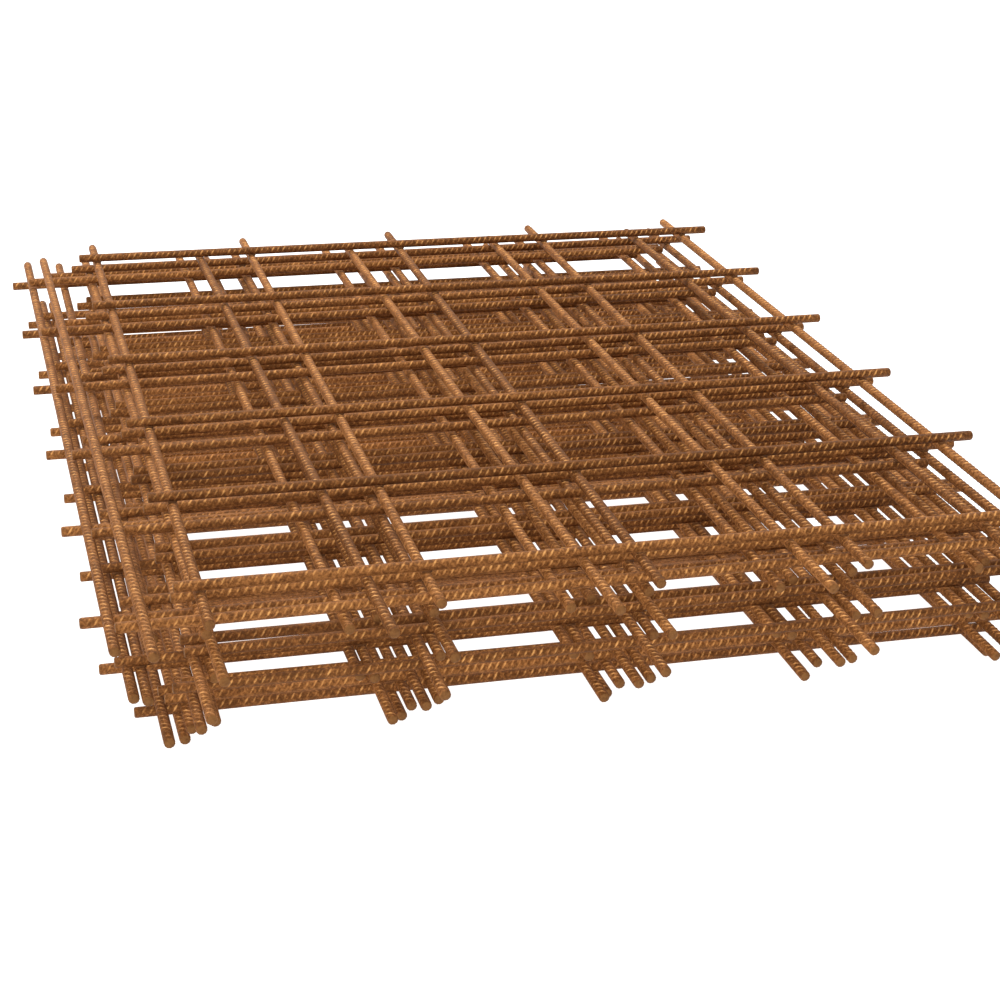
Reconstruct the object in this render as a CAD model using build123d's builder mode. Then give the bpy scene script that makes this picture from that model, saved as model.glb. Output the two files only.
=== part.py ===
from build123d import *
import os
from math import asin, cos, sin

# Stack of welded reinforcing mesh sheets, lying flat on the floor. Lengths are in millimetres, +Z is up.
# Each sheet is one layer of long bars, along Y, with a layer of cross bars, along X, welded onto it.
# Every other sheet is turned over, end for end, so that its bars lie in the gaps of the sheet below and
# the stack rises by one bar for each sheet. The origin is on the floor under the middle of the bottom sheet.

# Bars: the diameter is taken over the ribs
BAR_DIAMETER = 11.0
BAR_SIDES = 8

# Mesh: spacing from bar to bar, and how far each cross bar is pressed into the long bars by its welds
LONG_BAR_COUNT = 5
CROSS_BAR_COUNT = 6
LONG_BAR_SPACING = 200.0
CROSS_BAR_SPACING = 200.0
WELD_SINK = 0.9

# Edges: how far the bars run on past the last weld
FRONT_OVERHANG = 59.0
BACK_OVERHANG = 81.0
LEFT_OVERHANG = 23.0
RIGHT_OVERHANG = 33.0

# Stack, from the bottom sheet up: how far each sheet is shifted along X and along Y, and how far
# the ends of its long bars swing aside, all three as shares of the bar diameter. Two sheets in turn
# share a layer of bars, so there they are shifted by more than one diameter.
SHEET_SHARES = [
    (0.0, 0.0, 0.3),
    (-1.2, -2.0, -0.15),
    (0.6, -2.1, 0.05),
    (1.0, -3.8, 0.0),
    (2.8, -5.3, -0.6),
    (-4.1, -1.2, 0.15),
    (-3.0, -4.0, 0.1),
    (1.1, -9.5, 0.0),
    (2.4, -5.2, -0.15),
    (1.8, -7.0, 0.6),
    (-2.0, -1.4, -0.1),
    (-5.7, -4.5, 0.2),
    (1.3, -5.1, 0.35),
    (-3.7, -9.6, 0.6),
    (1.7, -7.8, -0.1),
]

# Sizes that follow
BAR_RADIUS = BAR_DIAMETER / 2
MESH_WIDTH = LONG_BAR_SPACING * (LONG_BAR_COUNT - 1)
MESH_LENGTH = CROSS_BAR_SPACING * (CROSS_BAR_COUNT - 1)
LONG_BAR_LENGTH = FRONT_OVERHANG + MESH_LENGTH + BACK_OVERHANG
CROSS_BAR_LENGTH = LEFT_OVERHANG + MESH_WIDTH + RIGHT_OVERHANG
CROSS_BAR_HEIGHT = BAR_DIAMETER + BAR_RADIUS - WELD_SINK
SHEET_THICKNESS = BAR_DIAMETER * 2 - WELD_SINK


def sheet_plane(level, shift_x_share, shift_y_share, swing_share):
    """Underside of a sheet's long bars: the plane faces down where the sheet is turned over."""
    turn = asin(swing_share * BAR_DIAMETER / (LONG_BAR_LENGTH / 2))
    side = 1 if level % 2 == 0 else -1
    height = level * BAR_DIAMETER
    if side < 0:
        height += SHEET_THICKNESS
    place = (shift_x_share * BAR_DIAMETER, shift_y_share * BAR_DIAMETER, height)
    return Plane(origin=place, x_dir=(cos(turn), sin(turn), 0), z_dir=(0, 0, side))


def bar_ends(count, spacing):
    """Sections of one layer of like bars, side by side: flats up, down and to both sides."""
    with GridLocations(spacing, 0, count, 1):
        RegularPolygon(BAR_RADIUS, BAR_SIDES, major_radius=False, rotation=180 / BAR_SIDES)


def weld_sheet(name, plane):
    """One mesh sheet on its plane, fused at the crossings, written out under its own name."""
    front = plane.from_local_coords((0, -MESH_LENGTH / 2 - FRONT_OVERHANG, BAR_RADIUS))
    left = plane.from_local_coords((-MESH_WIDTH / 2 - LEFT_OVERHANG, 0, CROSS_BAR_HEIGHT))
    with BuildPart() as sheet:
        with BuildSketch(Plane(origin=front, x_dir=plane.x_dir, z_dir=plane.y_dir)):
            bar_ends(LONG_BAR_COUNT, LONG_BAR_SPACING)
        extrude(amount=LONG_BAR_LENGTH)
        with BuildSketch(Plane(origin=left, x_dir=plane.y_dir, z_dir=plane.x_dir)):
            bar_ends(CROSS_BAR_COUNT, CROSS_BAR_SPACING)
        extrude(amount=CROSS_BAR_LENGTH)
    sheet.part.label = name
    export_step(sheet.part, f"parts/{name}.step")


os.makedirs("parts", exist_ok=True)
for level, shares in enumerate(SHEET_SHARES):
    weld_sheet(f"mesh_sheet_{level + 1:02d}", sheet_plane(level, *shares))
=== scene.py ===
"""Dressed model of a stack of rusty welded mesh sheets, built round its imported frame.

Every sheet of the frame is replaced by one mesh of ribbed bars and weld nuggets. The bars' lines are
read from the sheet's own node, so the dressed sheet lies where the solid lies. Lengths are in metres.
"""

import logging
from dataclasses import dataclass, field
from enum import Enum
from math import cos, radians, sin

import bpy
import numpy as np
from mathutils import Matrix, Vector


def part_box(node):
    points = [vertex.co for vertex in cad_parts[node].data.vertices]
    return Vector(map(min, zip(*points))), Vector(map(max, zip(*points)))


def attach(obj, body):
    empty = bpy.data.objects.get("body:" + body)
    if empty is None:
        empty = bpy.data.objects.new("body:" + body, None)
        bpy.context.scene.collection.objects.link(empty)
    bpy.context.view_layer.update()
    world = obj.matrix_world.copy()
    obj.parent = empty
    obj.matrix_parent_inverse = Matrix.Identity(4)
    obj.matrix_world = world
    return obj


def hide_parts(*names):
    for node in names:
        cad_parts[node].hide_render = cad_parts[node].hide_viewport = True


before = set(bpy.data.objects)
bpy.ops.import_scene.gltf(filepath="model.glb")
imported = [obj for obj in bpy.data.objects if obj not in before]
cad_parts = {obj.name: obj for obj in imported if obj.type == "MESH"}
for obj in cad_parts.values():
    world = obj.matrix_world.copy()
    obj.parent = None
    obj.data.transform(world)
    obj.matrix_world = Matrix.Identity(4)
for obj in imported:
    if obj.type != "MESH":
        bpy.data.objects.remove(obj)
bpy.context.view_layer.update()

LOG = logging.getLogger("mesh_stack")
SHEET_PREFIX = "mesh_sheet_"
SEED = 15
UP = np.array([0.0, 0.0, 1.0])
WHITE = (1.0, 1.0, 1.0, 1.0)

# Corners of a rib's or a seam's section: a foot, the crest and the other foot
RIDGE_CORNERS = 3

# Tone of a bar that is neither dark nor light, on a scale from 0 to 1
MIDDLE_TONE = 0.5

# Reading of the solids: digits kept of a point's place, and the slack for points on an end face
POINT_DIGITS = 6
END_SLACK = 0.0005

# Sockets of a Mix node when it blends colours
MIX_UNDER = 6
MIX_OVER = 7
MIX_RESULT = 2

Colour = tuple[float, float, float]
Stops = tuple[tuple[float, Colour], ...]
Socket = bpy.types.NodeSocket


class BarLayer(Enum):
    """The two layers of a welded sheet, by the way that their bars run."""

    LONG = "along the sheet's length"
    CROSS = "across the sheet"


class Mark(Enum):
    """Marks on the points of a mesh that the rust finish reads."""

    CREST = "rib_crest"
    CUT = "sawn_end"
    WELD = "weld_burn"
    TONE = "bar_tone"


def put_in_scene(name: str, data: bpy.types.ID) -> bpy.types.Object:
    """Make an object at the origin and link it to the scene.

    Args:
        name: name of the object.
        data: its mesh, lamp or camera.

    Returns:
        The object.
    """
    made = bpy.data.objects.new(name, data)
    bpy.context.scene.collection.objects.link(made)
    return made


def plan_axes(turn: float) -> tuple[np.ndarray, np.ndarray]:
    """Unit vectors across and along a sheet that is turned in plan.

    Args:
        turn: angle in radians, anticlockwise from above.

    Returns:
        The vector across the sheet and the one along it.
    """
    return np.array([cos(turn), sin(turn), 0.0]), np.array([-sin(turn), cos(turn), 0.0])


@dataclass(frozen=True)
class BarLine:
    """Centre line of one bar, from end to end."""

    start: np.ndarray
    end: np.ndarray
    layer: BarLayer

    @property
    def length(self) -> float:
        """Length of the bar."""
        return float(np.linalg.norm(self.end - self.start))

    @property
    def direction(self) -> np.ndarray:
        """Unit vector from the start to the end."""
        return (self.end - self.start) / self.length

    def place(self, along: np.ndarray, across: np.ndarray, above: np.ndarray) -> np.ndarray:
        """Carry points from the bar's own axes to the frame.

        Args:
            along: distances from the start along the bar.
            across: distances to the left of the bar, level.
            above: distances above the centre line.

        Returns:
            An array of points with one more axis, of three.
        """
        side = np.cross(UP, self.direction)
        parts = (along, self.direction), (across, side), (above, UP)
        return self.start + sum(amount[..., None] * axis for amount, axis in parts)


@dataclass
class SkinArrays:
    """Points, triangles and marks of one mesh, gathered as whole arrays."""

    points: list[np.ndarray] = field(default_factory=list)
    triangles: list[np.ndarray] = field(default_factory=list)
    marks: dict[Mark, list[np.ndarray]] = field(default_factory=lambda: {mark: [] for mark in Mark})
    count: int = 0

    def add(self, points: np.ndarray, triangles: np.ndarray, **marks: np.ndarray | float) -> None:
        """Add one or many like shapes.

        Args:
            points: array of shape (shapes, points, 3).
            triangles: corner numbers within one shape, of shape (triangles, 3).
            **marks: values for the points by the mark's name in lower case, of shape (shapes, points)
                or one that spreads to it. Marks that aren't given are zero.
        """
        shapes, size = points.shape[:2]
        first = self.count + size * np.arange(shapes)
        self.points.append(points.reshape(-1, 3))
        self.triangles.append((first[:, None, None] + triangles).reshape(-1, 3))
        for mark in Mark:
            value = np.broadcast_to(marks.get(mark.name.lower(), 0.0), (shapes, size))
            self.marks[mark].append(value.ravel())
        self.count += shapes * size

    def mesh(self, name: str, sharp_angle: float) -> bpy.types.Mesh:
        """Put the arrays into a mesh that is smooth but for its sharp edges.

        Args:
            name: name of the mesh.
            sharp_angle: edges that turn by more than this, in radians, stay sharp.

        Returns:
            The mesh.
        """
        points = np.concatenate(self.points).astype(np.float32)
        corners = np.concatenate(self.triangles).astype(np.int32)
        mesh = bpy.data.meshes.new(name)
        mesh.vertices.add(len(points))
        mesh.vertices.foreach_set("co", points.ravel())
        mesh.loops.add(corners.size)
        mesh.loops.foreach_set("vertex_index", corners.ravel())
        mesh.polygons.add(len(corners))
        mesh.polygons.foreach_set("loop_start", np.arange(0, corners.size, 3, dtype=np.int32))
        mesh.polygons.foreach_set("use_smooth", np.ones(len(corners), dtype=bool))
        for mark, values in self.marks.items():
            layer = mesh.attributes.new(mark.value, "FLOAT", "POINT")
            layer.data.foreach_set("value", np.concatenate(values).astype(np.float32))
        mesh.update(calc_edges=True)
        mesh.set_sharp_from_angle(angle=sharp_angle)
        return mesh


def ring_triangles(rings: int, sides: int) -> np.ndarray:
    """Triangles of a tube of rings, closed by a fan at each end.

    Points are numbered ring by ring, then the middle of the first end and of the last.

    Args:
        rings: number of rings.
        sides: points on each ring.

    Returns:
        Corner numbers, of shape (triangles, 3), facing outwards for rings that turn
        anticlockwise as seen from the last end.
    """
    ring, side = np.meshgrid(np.arange(rings - 1), np.arange(sides), indexing="ij")
    here = (ring * sides + side).ravel()
    beside = (ring * sides + (side + 1) % sides).ravel()
    walls = np.concatenate([
        np.stack([here, beside, beside + sides], 1),
        np.stack([here, beside + sides, here + sides], 1),
    ])
    edge = np.arange(sides)
    next_edge = (edge + 1) % sides
    last = (rings - 1) * sides
    middle = np.full(sides, rings * sides)
    fans = np.concatenate([
        np.stack([middle, next_edge, edge], 1),
        np.stack([middle + 1, last + edge, last + next_edge], 1),
    ])
    return np.concatenate([walls, fans])


def spindle_triangles(rings: int, sides: int) -> np.ndarray:
    """Triangles of a spindle of rings between two tips.

    Points are numbered from the first tip, ring by ring, to the last tip.

    Args:
        rings: number of rings.
        sides: points on each ring.

    Returns:
        Corner numbers, of shape (triangles, 3), facing outwards for rings that turn
        anticlockwise as seen from the first tip.
    """
    last = 1 + sides * rings
    corner = np.arange(sides)
    follow = (corner + 1) % sides
    tip = np.zeros(sides, int)
    faces = [np.stack([tip, 1 + corner, 1 + follow], 1)]
    for ring in range(rings - 1):
        base = 1 + sides * ring
        faces.append(np.stack([base + corner, base + sides + corner, base + sides + follow], 1))
        faces.append(np.stack([base + corner, base + sides + follow, base + follow], 1))
    faces.append(np.stack([tip + last, last - sides + follow, last - sides + corner], 1))
    return np.concatenate(faces)


@dataclass(frozen=True)
class RibbedBar:
    """A ribbed reinforcing bar: a round core, two rows of slanted crescent ribs and two seams."""

    core_radius: float = 0.00505
    sides: int = 10
    end_bevel: float = 0.0009
    rib_height: float = 0.00050
    rib_pitch: float = 0.0072
    rib_half_width: float = 0.0020
    rib_advance: float = 0.0044
    rib_bury: float = 0.00020
    rise_power: int = 6
    foot_taper_share: float = 0.35
    stations: int = 5
    rows: int = 2
    # Pale crest mark: partly rubbed wear, partly a painted highlight kept to the middle of each rib
    least_wear_and_glint: float = 0.35
    crest_glint_power: int = 3
    seam_height: float = 0.00035
    seam_half_width: float = 0.0008
    seam_wear_and_glint: float = 0.15
    long_row_angle: float = radians(72)
    cross_row_angle: float = radians(144)
    roll_spread: float = radians(14)

    @property
    def step(self) -> float:
        """Angle from one edge of the core to the next."""
        return 2 * np.pi / self.sides

    @property
    def rib_half_turn(self) -> float:
        """Angle round the core from a rib's middle to its tip: its stations lie on edges of the core."""
        return (self.stations - 1) / 2 * self.step

    def row_angle(self, line: BarLine, draw: float) -> float:
        """Angle round the bar at the middle of its first row of ribs.

        Args:
            line: the bar.
            draw: random number from 0 to 1 for the bar's own roll.

        Returns:
            Angle in radians, from level on the bar's left, over its top.
        """
        middle = self.long_row_angle if line.layer is BarLayer.LONG else self.cross_row_angle
        return middle + (2 * draw - 1) * self.roll_spread

    def add_core(self, skin: SkinArrays, line: BarLine, angle: float, tone: float) -> None:
        """Add the round core: a circle carried along the bar, with a small bevel at each sawn end.

        Args:
            skin: arrays to add to.
            line: the bar.
            angle: angle at the middle of the first row of ribs.
            tone: the bar's own tone.
        """
        bevel = self.end_bevel
        along = np.array([0.0, bevel, line.length - bevel, line.length])
        radius = self.core_radius - bevel * np.array([1, 0, 0, 1])
        turn = angle - self.rib_half_turn + self.step * np.arange(self.sides)
        r = np.repeat(radius, self.sides)
        theta = np.tile(turn, len(along))
        t = np.append(np.repeat(along, self.sides), [0.0, line.length])
        across = np.append(r * np.cos(theta), [0.0, 0.0])
        above = np.append(r * np.sin(theta), [0.0, 0.0])
        cut = np.zeros(len(t))
        cut[:self.sides] = cut[-self.sides - 2:] = 1.0
        skin.add(line.place(t, across, above)[None], ring_triangles(len(along), self.sides),
                 cut=cut, tone=tone)

    def add_ribs(self, skin: SkinArrays, line: BarLine, angle: float, tone: float,
                 draws: np.random.Generator) -> None:
        """Add both rows of crescent ribs.

        A rib runs round the core over a few of its sides. With s from -1 to 1 along the rib, its crest
        stands rib_height * (1 - s ** rise_power) over the core, its place along the bar shifts by
        rib_advance * s, and its foot narrows by foot_taper_share * s * s towards the tips, which sink
        into the core. Each crest is marked by the rib's own share of wear and painted highlight, from
        least_wear_and_glint to 1, times (1 - s * s) ** crest_glint_power; the crests are laid paler
        from this mark, partly as real wear and partly as a painted highlight.

        Args:
            skin: arrays to add to.
            line: the bar.
            angle: angle at the middle of the first row.
            tone: the bar's own tone.
            draws: source of random numbers for where the first rib starts and for each rib's share of
                wear and painted highlight.
        """
        s = np.linspace(-1.0, 1.0, self.stations)
        inner = slice(1, -1)
        stagger = self.rib_pitch / self.rows
        margin = self.rib_advance + self.end_bevel
        first = margin + draws.random() * stagger
        count = 1 + int((line.length - first - margin - stagger) / self.rib_pitch)
        starts = first + self.rib_pitch * np.arange(count)
        foot = self.rib_half_width * (1 - self.foot_taper_share * s * s)
        low = np.full_like(s, self.core_radius - self.rib_bury)
        high = self.core_radius + self.rib_height * (1 - s ** self.rise_power)
        tip = [self.core_radius - self.rib_bury / 2]
        r = np.concatenate([tip, np.stack([low, high, low], 1)[inner].ravel(), tip])
        triangles = spindle_triangles(self.stations - 2, RIDGE_CORNERS)
        for row in range(self.rows):
            turn = angle + row * np.pi + self.rib_half_turn * s
            theta = np.concatenate([turn[:1], np.repeat(turn[inner], RIDGE_CORNERS), turn[-1:]])
            middle = starts[:, None] + row * stagger - self.rib_advance * s
            body = np.stack([middle - foot, middle, middle + foot], 2)[:, inner].reshape(count, -1)
            t = np.concatenate([middle[:, :1], body, middle[:, -1:]], 1)
            across = np.broadcast_to(r * np.cos(theta), t.shape)
            above = np.broadcast_to(r * np.sin(theta), t.shape)
            # Each rib's own pale crest: partly real wear, partly a painted highlight
            wear_and_glint = draws.uniform(self.least_wear_and_glint, 1.0, (count, 1))
            crest = np.zeros(t.shape)
            # The first crest comes after the tip and a foot
            crest[:, 2:-1:RIDGE_CORNERS] = wear_and_glint * ((1 - s * s) ** self.crest_glint_power)[inner]
            skin.add(line.place(t, across, above), triangles, crest=crest, tone=tone)

    def add_seams(self, skin: SkinArrays, line: BarLine, angle: float, tone: float) -> None:
        """Add the two low seams between the rows: a flat triangle carried along the bar.

        Args:
            skin: arrays to add to.
            line: the bar.
            angle: angle at the middle of the first row of ribs.
            tone: the bar's own tone.
        """
        inset = 2 * self.end_bevel
        along = np.array([inset, line.length - inset])
        half_turn = self.seam_half_width / self.core_radius
        flat = self.core_radius * np.cos(np.pi / self.sides)
        section = np.array([flat - self.rib_bury, flat + self.seam_height, flat - self.rib_bury])
        centre = np.full(2, flat - self.rib_bury / 2)
        r = np.concatenate([section, section, centre])
        t = np.append(np.repeat(along, RIDGE_CORNERS), along)
        # The seams' crests get a faint pale mark: partly wear, partly a painted highlight
        crest = self.seam_wear_and_glint * np.array([0, 1, 0, 0, 1, 0, 0, 0])
        for row in range(self.rows):
            middle = angle + np.pi / 2 + row * np.pi
            turn = middle + half_turn * np.array([-1.0, 0.0, 1.0])
            theta = np.concatenate([turn, turn, np.full(2, middle)])
            points = line.place(t, r * np.cos(theta), r * np.sin(theta))
            skin.add(points[None], ring_triangles(2, RIDGE_CORNERS), crest=crest, tone=tone)


@dataclass(frozen=True)
class WeldNugget:
    """Metal squeezed out where two bars were pressed together and welded."""

    plan_radius: float = 0.0050
    half_height: float = 0.0016
    sides: int = 12
    ring_heights: tuple[float, ...] = (-0.72, 0.0, 0.72)
    narrow_power: int = 4
    lobes: int = 4
    lobe_share: float = 0.12
    rough_waves: tuple[int, int] = (2, 3)
    rough_share: float = 0.10

    def add(self, skin: SkinArrays, centres: np.ndarray, turn: float, draws: np.ndarray) -> None:
        """Add a nugget at each crossing.

        In plan a nugget's radius is plan_radius, times 1 - lobe_share * cos(lobes * alpha), which swells
        it into the four corners between the bars, and it is roughened by two slower waves of its own.
        At a height z, as a share of half_height, it is narrowed by the root of 1 - z ** narrow_power.

        Args:
            skin: arrays to add to.
            centres: crossing points, of shape (crossings, 3).
            turn: turn of the sheet in plan, in radians.
            draws: random numbers from 0 to 1, of shape (crossings, 2).
        """
        alpha = 2 * np.pi * np.arange(self.sides) / self.sides
        level = np.array(self.ring_heights)
        swell = 1 - self.lobe_share * np.cos(self.lobes * alpha)
        first, second = self.rough_waves
        phase = 2 * np.pi * draws
        wave = np.cos(first * alpha + phase[:, :1]) + np.cos(second * alpha + phase[:, 1:])
        plan = self.plan_radius * (swell + self.rough_share * wave / 2)
        narrow = np.sqrt(1 - level ** self.narrow_power)
        r = (plan[:, None, :] * narrow[None, :, None]).reshape(len(centres), -1)
        angle = np.tile(alpha, len(level)) + turn
        z = np.repeat(level * self.half_height, self.sides)
        offset = np.stack([r * np.cos(angle), r * np.sin(angle), np.broadcast_to(z, r.shape)], 2)
        poles = np.zeros((len(centres), 2, 3))
        poles[:, 0, 2] = -self.half_height
        poles[:, 1, 2] = self.half_height
        points = centres[:, None, :] + np.concatenate([offset, poles], 1)
        skin.add(points, ring_triangles(len(level), self.sides), weld=1.0, tone=MIDDLE_TONE)


@dataclass
class MeshSheet:
    """One welded sheet, with its bars' lines as its node has them."""

    node: str
    bars: list[BarLine]
    turn: float
    weld_height: float
    sharp_angle: float = radians(50)

    @classmethod
    def from_node(cls, node: str, solid: bpy.types.Object) -> "MeshSheet":
        """Read a sheet's bars from the corner points of its solid.

        The points spread most along the sheet, which gives its turn in plan. Points at the sheet's
        outermost ends lie on the bars' end faces, and each group of them is one bar's end.

        Args:
            node: the solid's name.
            solid: the solid's object.

        Returns:
            The sheet.
        """
        points = np.empty(len(solid.data.vertices) * 3)
        solid.data.vertices.foreach_get("co", points)
        points = np.unique(points.reshape(-1, 3).round(POINT_DIGITS), axis=0)
        plan = points[:, :2] - points[:, :2].mean(0)
        spread = plan.T @ plan
        turn = 0.5 * np.arctan2(-2 * spread[0, 1], spread[1, 1] - spread[0, 0])
        across_axis, along_axis = plan_axes(turn)
        across, along = points @ across_axis, points @ along_axis
        bars = [
            *cls.read_layer(points, along, across, along_axis, across_axis, BarLayer.LONG),
            *cls.read_layer(points, across, along, across_axis, along_axis, BarLayer.CROSS),
        ]
        heights = [np.mean([b.start[2] for b in bars if b.layer is layer]) for layer in BarLayer]
        return cls(node, bars, float(turn), float(np.mean(heights)))

    @staticmethod
    def read_layer(points: np.ndarray, run: np.ndarray, beside: np.ndarray, run_axis: np.ndarray,
                   beside_axis: np.ndarray, layer: BarLayer) -> list[BarLine]:
        """Find the bars of one layer from the points on their end faces.

        Args:
            points: corner points of the sheet.
            run: their places along these bars.
            beside: their places across these bars.
            run_axis: unit vector along these bars.
            beside_axis: unit vector across these bars.
            layer: which layer this is.

        Returns:
            The layer's bars, in order across the sheet.
        """
        on_end = run < run.min() + END_SLACK
        height = np.ptp(points[on_end, 2])
        level = points[on_end, 2].min() + height / 2
        order = np.sort(beside[on_end])
        groups = np.split(order, np.nonzero(np.diff(order) > height)[0] + 1)
        bars = []
        for group in groups:
            place = (group.min() + group.max()) / 2 * beside_axis + level * UP
            bars.append(BarLine(place + run.min() * run_axis, place + run.max() * run_axis, layer))
        return bars

    def crossings(self) -> np.ndarray:
        """Points where the layers are welded, half way between the two layers' lines.

        Returns:
            The points, of shape (crossings, 3).
        """
        across_axis, along_axis = plan_axes(self.turn)
        x = np.array([b.start for b in self.bars if b.layer is BarLayer.LONG]) @ across_axis
        y = np.array([b.start for b in self.bars if b.layer is BarLayer.CROSS]) @ along_axis
        grid_x, grid_y = (g.ravel()[:, None] for g in np.meshgrid(x, y, indexing="ij"))
        return grid_x * across_axis + grid_y * along_axis + self.weld_height * UP

    def build(self, bar: RibbedBar, nugget: WeldNugget, draws: np.random.Generator) -> bpy.types.Object:
        """Make the dressed sheet as one mesh.

        Args:
            bar: the kind of bar that the sheet is made of.
            nugget: the kind of weld.
            draws: source of random numbers for the bars' roll, tones and ribs, and for the welds.

        Returns:
            The new object, in the scene.
        """
        skin = SkinArrays()
        for line in self.bars:
            roll, tone = draws.random(2)
            angle = bar.row_angle(line, roll)
            bar.add_core(skin, line, angle, tone)
            bar.add_ribs(skin, line, angle, tone, draws)
            bar.add_seams(skin, line, angle, tone)
        centres = self.crossings()
        nugget.add(skin, centres, self.turn, draws.random((len(centres), 2)))
        name = "ribbed_" + self.node
        return put_in_scene(name, skin.mesh(name, self.sharp_angle))

    def dress(self, piece: bpy.types.Object, finish: bpy.types.Material) -> None:
        """Give the piece its finish and let it stand for its solid.

        Args:
            piece: the dressed sheet.
            finish: the material of its steel.
        """
        piece.data.materials.append(finish)
        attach(piece, "root")
        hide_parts(self.node)


@dataclass(frozen=True)
class NoiseBand:
    """One size of noise: about scale bumps to the metre, with finer ones on them."""

    scale: float
    detail: float
    roughness: float


class NodeSketch:
    """A short way to lay out a material's nodes."""

    def __init__(self, name: str) -> None:
        """Start a material with an empty tree.

        Args:
            name: name of the material.
        """
        self.material = bpy.data.materials.new(name)
        self.material.use_nodes = True
        self.tree = self.material.node_tree
        self.tree.nodes.clear()

    def node(self, kind: str, **settings: object) -> bpy.types.Node:
        """Add a node and set its properties.

        Args:
            kind: the node's type.
            **settings: values of its properties by name.

        Returns:
            The node.
        """
        made = self.tree.nodes.new(kind)
        for key, value in settings.items():
            setattr(made, key, value)
        return made

    def join(self, source: Socket, target: Socket) -> None:
        """Link two sockets."""
        self.tree.links.new(source, target)

    def noise(self, place: Socket, band: NoiseBand) -> Socket:
        """Noise over a place.

        Args:
            place: coordinates.
            band: size and fineness of the noise.

        Returns:
            A number from 0 to 1, mostly near the middle.
        """
        made = self.node("ShaderNodeTexNoise")
        self.join(place, made.inputs["Vector"])
        made.inputs["Scale"].default_value = band.scale
        made.inputs["Detail"].default_value = band.detail
        made.inputs["Roughness"].default_value = band.roughness
        return made.outputs["Fac"]

    def mark(self, mark: Mark) -> Socket:
        """A mark of the mesh's points as a number."""
        return self.node("ShaderNodeAttribute", attribute_name=mark.value).outputs["Fac"]

    def reckon(self, operation: str, first: Socket | float, second: Socket | float,
               clamp: bool = False) -> Socket:
        """One step of arithmetic.

        Args:
            operation: the step, as the Math node names it.
            first: a number or a socket.
            second: a number or a socket.
            clamp: whether the result is kept from 0 to 1.

        Returns:
            The result.
        """
        made = self.node("ShaderNodeMath", operation=operation, use_clamp=clamp)
        for socket, value in zip(made.inputs, (first, second)):
            if isinstance(value, Socket):
                self.join(value, socket)
            else:
                socket.default_value = value
        return made.outputs[0]

    def weigh(self, *parts: tuple[Socket, float]) -> Socket:
        """Add numbers up, each times its weight.

        Args:
            *parts: pairs of a number's socket and its weight.

        Returns:
            The sum.
        """
        total, *rest = [self.reckon("MULTIPLY", value, weight) for value, weight in parts]
        for part in rest:
            total = self.reckon("ADD", total, part)
        return total

    def blend(self, share: Socket, under: Socket, over: Colour) -> Socket:
        """Lay a colour over another.

        Args:
            share: how much of the upper colour shows.
            under: the lower colour.
            over: the upper colour.

        Returns:
            The blended colour.
        """
        made = self.node("ShaderNodeMix", data_type="RGBA")
        self.join(share, made.inputs["Factor"])
        self.join(under, made.inputs[MIX_UNDER])
        made.inputs[MIX_OVER].default_value = (*over, 1.0)
        return made.outputs[MIX_RESULT]

    def ramp(self, value: Socket, stops: Stops) -> Socket:
        """Colours along a scale.

        Args:
            value: place on the scale.
            stops: places and their colours, in order.

        Returns:
            The colour.
        """
        made = self.node("ShaderNodeValToRGB")
        self.join(value, made.inputs["Fac"])
        elements = made.color_ramp.elements
        # Stops are added half way along the scale, and get their places next
        while len(elements) < len(stops):
            elements.new(0.5)
        for element, (position, colour) in zip(elements, stops):
            element.position = position
            element.color = (*colour, 1.0)
        return made.outputs["Color"]

    def surface(self, shader: bpy.types.Node) -> bpy.types.Material:
        """Finish the material with its shader.

        Args:
            shader: the node that gives the surface.

        Returns:
            The material.
        """
        self.join(shader.outputs["BSDF"], self.node("ShaderNodeOutputMaterial").inputs["Surface"])
        return self.material


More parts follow.
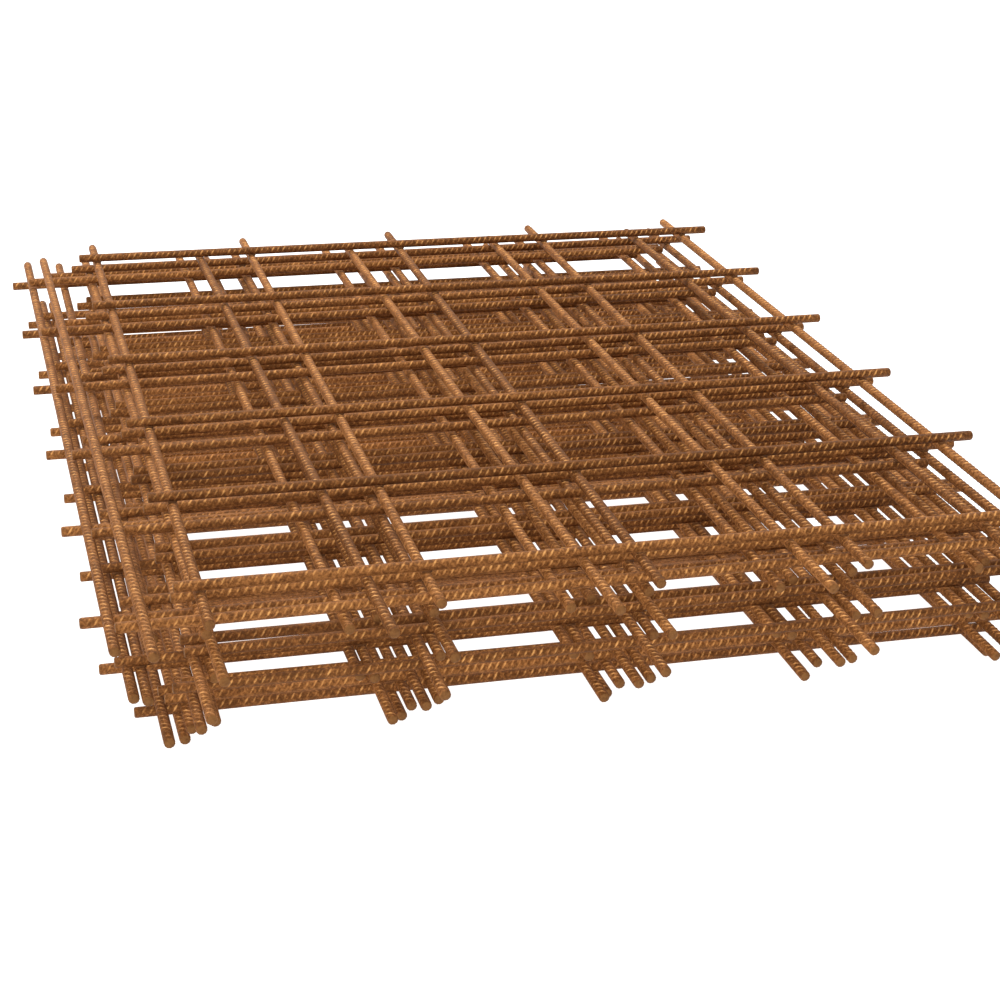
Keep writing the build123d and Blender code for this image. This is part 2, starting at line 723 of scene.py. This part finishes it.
@dataclass(frozen=True)
class RustFinish:
    """Brown rust on ribbed steel: blotched and pitted, with pale rib crests that are partly rubbed wear
    and partly a painted highlight, and painted shade between the ribs.
    """

    name: str = "rusty_ribbed_steel"

    # Rust all over: its colours from dark to light, and what moves a place along them
    stops: Stops = (
        (0.39, (0.112, 0.038, 0.010)),
        (0.47, (0.212, 0.077, 0.021)),
        (0.53, (0.315, 0.119, 0.033)),
        (0.61, (0.445, 0.183, 0.054)),
    )
    blotch: NoiseBand = NoiseBand(8.0, 3.0, 0.6)
    patch: NoiseBand = NoiseBand(60.0, 5.0, 0.65)
    grain: NoiseBand = NoiseBand(330.0, 4.0, 0.7)
    pits: NoiseBand = NoiseBand(1500.0, 3.0, 0.6)
    blotch_weight: float = 0.13
    patch_weight: float = 0.25
    grain_weight: float = 0.62
    tone_weight: float = 0.10

    # Shade between the ribs: it fades up their sides and is strongest where the grain is dark
    valley_colour: Colour = (0.070, 0.023, 0.006)
    valley_share: float = 0.52
    valley_fade: float = 1.5
    valley_full: float = 2.5
    valley_grain: float = 3.0

    # Pale crests, partly rubbed wear and partly a painted highlight: only the middle of a rib, and only
    # where the rust is worn
    crest_colour: Colour = (0.74, 0.370, 0.118)
    crest_share: float = 1.5
    crest_start: float = 0.2
    wear_and_glint_start: float = 0.72
    wear_and_glint_gain: float = 3.2

    # Sawn ends and burnt welds
    cut_colour: Colour = (0.19, 0.085, 0.028)
    cut_gain: float = 1.7
    cut_start: float = 0.15
    burn_colour: Colour = (0.070, 0.032, 0.016)
    burn_share: float = 0.6

    # Surface: how rough, how pitted and how glossy it is
    least_roughness: float = 0.50
    most_roughness: float = 0.85
    grain_height: float = 0.6
    pit_height: float = 0.4
    bump_depth: float = 0.0004
    bump_strength: float = 0.85
    gloss: float = 0.3
    shine_tint: Colour = (1.0, 0.62, 0.32)

    def rust(self, s: NodeSketch, blotch: Socket, patch: Socket, grain: Socket) -> Socket:
        """Colour of the rust all over, from its noises and the bar's own tone.

        Args:
            s: the material's nodes.
            blotch: coarse noise.
            patch: middle noise.
            grain: fine noise.

        Returns:
            The colour.
        """
        tone = s.reckon("SUBTRACT", s.mark(Mark.TONE), MIDDLE_TONE)
        mixed = s.weigh((patch, self.patch_weight), (grain, self.grain_weight),
                        (blotch, self.blotch_weight), (tone, self.tone_weight))
        return s.ramp(mixed, self.stops)

    def shade_ribs(self, s: NodeSketch, colour: Socket, patch: Socket, grain: Socket) -> Socket:
        """Paint shade in the valleys between the ribs, and lay a painted highlight, partly standing for
        rubbed wear, on the crests.

        Args:
            s: the material's nodes.
            colour: the rust so far.
            patch: middle noise.
            grain: fine noise.

        Returns:
            The colour.
        """
        crest = s.mark(Mark.CREST)
        # Painted shade in the valleys between the ribs, fading up their sides and deepest where the
        # grain is dark
        climb = s.reckon("MULTIPLY", crest, self.valley_fade)
        valley = s.reckon("SUBTRACT", self.valley_share, climb, clamp=True)
        hold = s.reckon("SUBTRACT", self.valley_full, s.reckon("MULTIPLY", grain, self.valley_grain))
        valley = s.reckon("MULTIPLY", valley, hold, clamp=True)
        colour = s.blend(valley, colour, self.valley_colour)
        # Painted highlight on the middle of each crest, partly standing for rubbed wear, shown only in
        # patches where the noises are high
        rubbed_and_glint = s.reckon("SUBTRACT", crest, self.crest_start, clamp=True)
        rubbed_and_glint = s.reckon("MULTIPLY", rubbed_and_glint, self.crest_share)
        wear_and_glint_patches = s.reckon("SUBTRACT", s.reckon("ADD", patch, grain), self.wear_and_glint_start)
        wear_and_glint_patches = s.reckon("MULTIPLY", wear_and_glint_patches, self.wear_and_glint_gain)
        rubbed_and_glint = s.reckon("MULTIPLY", rubbed_and_glint, wear_and_glint_patches, clamp=True)
        return s.blend(rubbed_and_glint, colour, self.crest_colour)

    def shade_ends(self, s: NodeSketch, colour: Socket, grain: Socket) -> Socket:
        """Dull the sawn ends and burn the welds dark.

        Args:
            s: the material's nodes.
            colour: the rust so far.
            grain: fine noise.

        Returns:
            The colour.
        """
        sawn = s.reckon("SUBTRACT", s.reckon("MULTIPLY", grain, self.cut_gain), self.cut_start)
        cut = s.reckon("MULTIPLY", s.mark(Mark.CUT), sawn, clamp=True)
        colour = s.blend(cut, colour, self.cut_colour)
        burn = s.reckon("MULTIPLY", s.mark(Mark.WELD), self.burn_share)
        return s.blend(burn, colour, self.burn_colour)

    def material(self) -> bpy.types.Material:
        """Lay out the finish.

        Returns:
            The material, on object coordinates and the mesh's marks.
        """
        s = NodeSketch(self.name)
        place = s.node("ShaderNodeTexCoord").outputs["Object"]
        patch = s.noise(place, self.patch)
        grain = s.noise(place, self.grain)
        colour = self.rust(s, s.noise(place, self.blotch), patch, grain)
        colour = self.shade_ribs(s, colour, patch, grain)
        colour = self.shade_ends(s, colour, grain)
        roughness = s.node("ShaderNodeMapRange")
        s.join(grain, roughness.inputs["Value"])
        roughness.inputs["To Min"].default_value = self.least_roughness
        roughness.inputs["To Max"].default_value = self.most_roughness
        bump = s.node("ShaderNodeBump")
        bump.inputs["Strength"].default_value = self.bump_strength
        bump.inputs["Distance"].default_value = self.bump_depth
        height = s.weigh((grain, self.grain_height), (s.noise(place, self.pits), self.pit_height))
        s.join(height, bump.inputs["Height"])
        shader = s.node("ShaderNodeBsdfPrincipled")
        shader.inputs["Specular IOR Level"].default_value = self.gloss
        shader.inputs["Specular Tint"].default_value = (*self.shine_tint, 1.0)
        s.join(colour, shader.inputs["Base Color"])
        s.join(roughness.outputs["Result"], shader.inputs["Roughness"])
        s.join(bump.outputs["Normal"], shader.inputs["Normal"])
        return s.surface(shader)


@dataclass(frozen=True)
class PaleFloor:
    """Finish of the studio floor: a pale grey with a faint grain, glowing so that it shows white."""

    name: str = "pale_floor"
    stops: Stops = (
        (0.3, (0.60, 0.60, 0.60)),
        (0.7, (0.62, 0.62, 0.62)),
    )
    grain: NoiseBand = NoiseBand(30.0, 3.0, 0.5)
    roughness: float = 0.9
    gloss: float = 0.1
    glow: float = 0.62

    def material(self) -> bpy.types.Material:
        """Lay out the finish.

        Returns:
            The material, on object coordinates.
        """
        s = NodeSketch(self.name)
        place = s.node("ShaderNodeTexCoord").outputs["Object"]
        colour = s.ramp(s.noise(place, self.grain), self.stops)
        shader = s.node("ShaderNodeBsdfPrincipled")
        shader.inputs["Roughness"].default_value = self.roughness
        shader.inputs["Specular IOR Level"].default_value = self.gloss
        shader.inputs["Emission Color"].default_value = WHITE
        shader.inputs["Emission Strength"].default_value = self.glow
        s.join(colour, shader.inputs["Base Color"])
        return s.surface(shader)


@dataclass(frozen=True)
class SoftLight:
    """A square lamp that looks at a point."""

    name: str
    place: tuple[float, float, float]
    aim: tuple[float, float, float]
    size: float
    power: float

    def build(self) -> None:
        """Put the lamp into the scene."""
        lamp = bpy.data.lights.new(self.name, "AREA")
        lamp.shape = "SQUARE"
        lamp.size = self.size
        lamp.energy = self.power
        made = put_in_scene(self.name, lamp)
        made.location = self.place
        toward = Vector(self.aim) - Vector(self.place)
        made.rotation_euler = toward.to_track_quat("-Z", "Y").to_euler()


@dataclass(frozen=True)
class FillLight:
    """An even light from one side that casts no shadow, to open up the inside of the stack."""

    name: str
    toward: tuple[float, float, float]
    strength: float

    def build(self) -> None:
        """Put the light into the scene."""
        lamp = bpy.data.lights.new(self.name, "SUN")
        lamp.energy = self.strength
        lamp.use_shadow = False
        made = put_in_scene(self.name, lamp)
        made.rotation_euler = Vector(self.toward).to_track_quat("-Z", "Y").to_euler()


@dataclass(frozen=True)
class Studio:
    """Floor, sky, lamps and camera."""

    floor_half: float = 20.0
    sky_strength: float = 0.6
    lamps: tuple[SoftLight | FillLight, ...] = (
        SoftLight("key_lamp", (-1.2, 2.2, 3.2), (0.0, 0.3, 0.1), 0.7, 115.0),
        FillLight("front_fill", (0.55, 0.45, -0.70), 2.0),
        FillLight("back_fill", (-0.50, -0.60, -0.62), 0.7),
    )
    azimuth: float = radians(-15.96)
    elevation: float = radians(23.07)
    roll: float = radians(1.80)
    distance: float = 1.976
    lens: float = 74.2
    sensor: float = 36.0
    aim_from_left: float = 0.329
    aim_from_front: float = 0.201

    def build_floor(self, finish: bpy.types.Material) -> None:
        """Lay a plain square floor under the stack.

        Args:
            finish: the floor's material.
        """
        edge = self.floor_half * np.array([-1.0, 1.0])
        x, y = np.meshgrid(edge, edge, indexing="xy")
        points = np.stack([x.ravel(), y.ravel(), np.zeros(4)], 1)
        mesh = bpy.data.meshes.new("floor")
        mesh.from_pydata(points.tolist(), [], [(0, 1, 3, 2)])
        mesh.materials.append(finish)
        put_in_scene("floor", mesh)

    def build_sky(self) -> None:
        """Light the scene evenly from all round."""
        world = bpy.data.worlds.new("studio_sky")
        world.use_nodes = True
        back = world.node_tree.nodes["Background"]
        back.inputs["Color"].default_value = WHITE
        back.inputs["Strength"].default_value = self.sky_strength
        bpy.context.scene.world = world
        bpy.context.scene.view_settings.view_transform = "Standard"

    def build_camera(self, top_node: str) -> None:
        """Look down on the stack as the photograph does.

        Args:
            top_node: the top sheet's node, which the camera is aimed on.
        """
        low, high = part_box(top_node)
        aim = Vector((low.x + self.aim_from_left, low.y + self.aim_from_front, (low.z + high.z) / 2))
        level = cos(self.elevation)
        back = Vector((sin(self.azimuth) * level, -cos(self.azimuth) * level, sin(self.elevation)))
        right = Vector((cos(self.azimuth), sin(self.azimuth), 0.0))
        up = back.cross(right)
        axes = Matrix((right, up, back)).transposed().to_4x4()
        data = bpy.data.cameras.new("camera")
        data.lens = self.lens
        data.sensor_width = self.sensor
        camera = put_in_scene("camera", data)
        stand = Matrix.Translation(aim + self.distance * back)
        camera.matrix_world = stand @ axes @ Matrix.Rotation(self.roll, 4, "Z")
        bpy.context.scene.camera = camera


def main() -> None:
    """Build every sheet, then the studio."""
    logging.basicConfig(level=logging.INFO, format="%(message)s")
    draws = np.random.default_rng(SEED)
    steel = RustFinish().material()
    bar = RibbedBar()
    nugget = WeldNugget()
    nodes = sorted(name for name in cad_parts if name.startswith(SHEET_PREFIX))
    for node in nodes:
        sheet = MeshSheet.from_node(node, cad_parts[node])
        piece = sheet.build(bar, nugget, draws)
        sheet.dress(piece, steel)
        LOG.info("%s: %d bars, turn %.3f deg, %d triangles", piece.name, len(sheet.bars),
                 np.degrees(sheet.turn), len(piece.data.polygons))
    studio = Studio()
    studio.build_floor(PaleFloor().material())
    studio.build_sky()
    for lamp in studio.lamps:
        lamp.build()
    studio.build_camera(nodes[-1])


if __name__ == "__main__":
    main()
